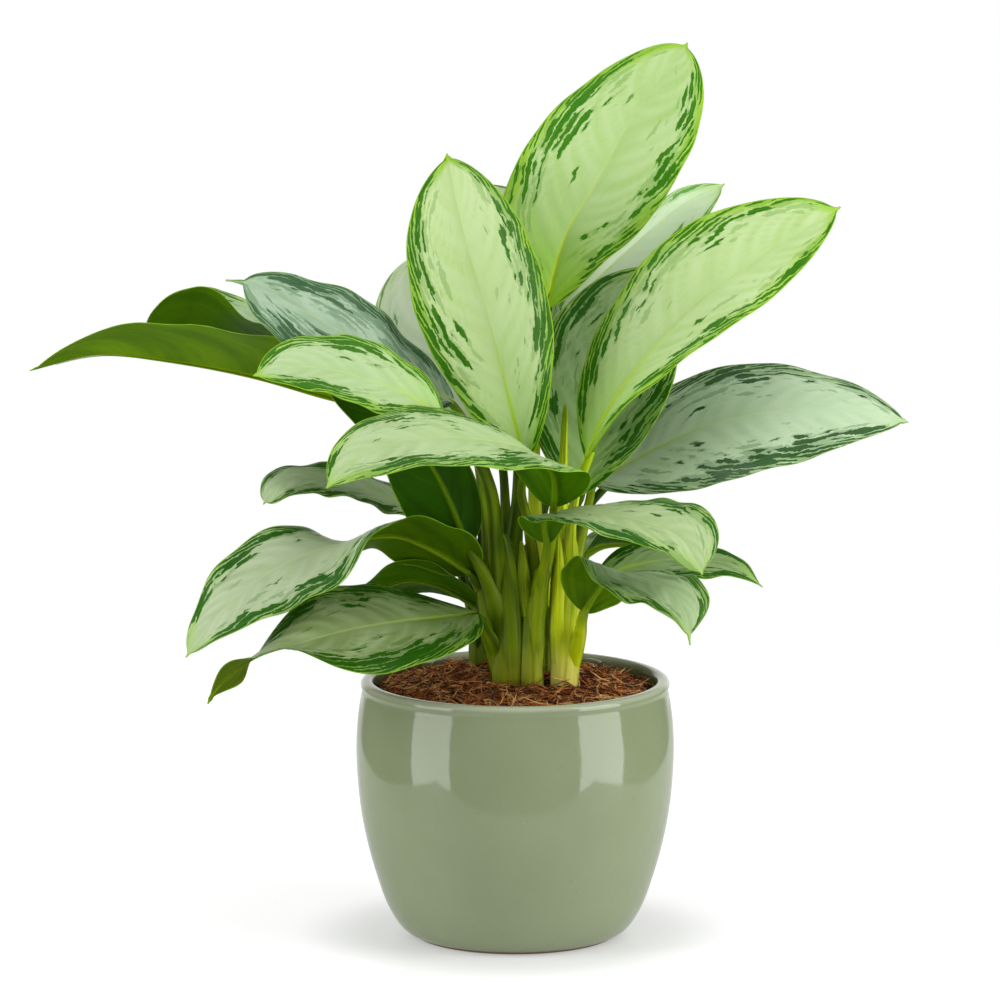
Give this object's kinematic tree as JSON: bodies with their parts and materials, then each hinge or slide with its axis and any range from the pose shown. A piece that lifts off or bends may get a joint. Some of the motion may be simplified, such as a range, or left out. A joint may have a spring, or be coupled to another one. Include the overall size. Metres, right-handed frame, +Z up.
{
  "type": "potted chinese evergreen",
  "caption": "Variegated Chinese evergreen in a round glazed ceramic pot, its root ball covered with coir; it stands on the pot's flat base.",
  "frame": {"origin": "middle of the pot's flat base, on the plane it stands on", "axes": "+Z up, -Y towards the side the picture shows, +X to that side's right"},
  "size_m": [0.5744, 0.3883, 0.5855],
  "materials": {
    "glaze": "gloss",
    "soil": "matte",
    "coir": "matte",
    "shoot": "satin",
    "leaf": "satin"
  },
  "bodies": {
    "root": {"pot": "glaze", "potting_soil": "soil", "coir_mulch": "coir", "shoot_left": "shoot", "shoot_middle": "shoot", "shoot_right": "shoot", "shoot_back_left": "shoot", "shoot_back_right": "shoot", "shoot_back_middle": "shoot", "young_shoot": "shoot", "new_leaf_spear": "shoot", "leaf_top": "leaf", "leaf_front_upright": "leaf", "leaf_right_upright": "leaf", "leaf_behind_top": "leaf", "leaf_right_broad": "leaf", "leaf_right_inner": "leaf", "leaf_left_inner": "leaf", "leaf_left_high": "leaf", "leaf_left_back": "leaf", "leaf_left_long": "leaf", "leaf_left_near": "leaf", "leaf_front_folded": "leaf", "leaf_left_curled": "leaf", "leaf_left_twisted": "leaf", "leaf_left_lowest": "leaf", "leaf_left_under": "leaf", "leaf_right_near": "leaf", "leaf_right_low": "leaf", "leaf_right_tail": "leaf", "leaf_right_under": "leaf", "leaf_left_cupped": "leaf", "leaf_back_left": "leaf", "leaf_back_middle": "leaf", "leaf_back_tall": "leaf", "leaf_back_right": "leaf", "leaf_back_side": "leaf"}
  },
  "joints": []
}
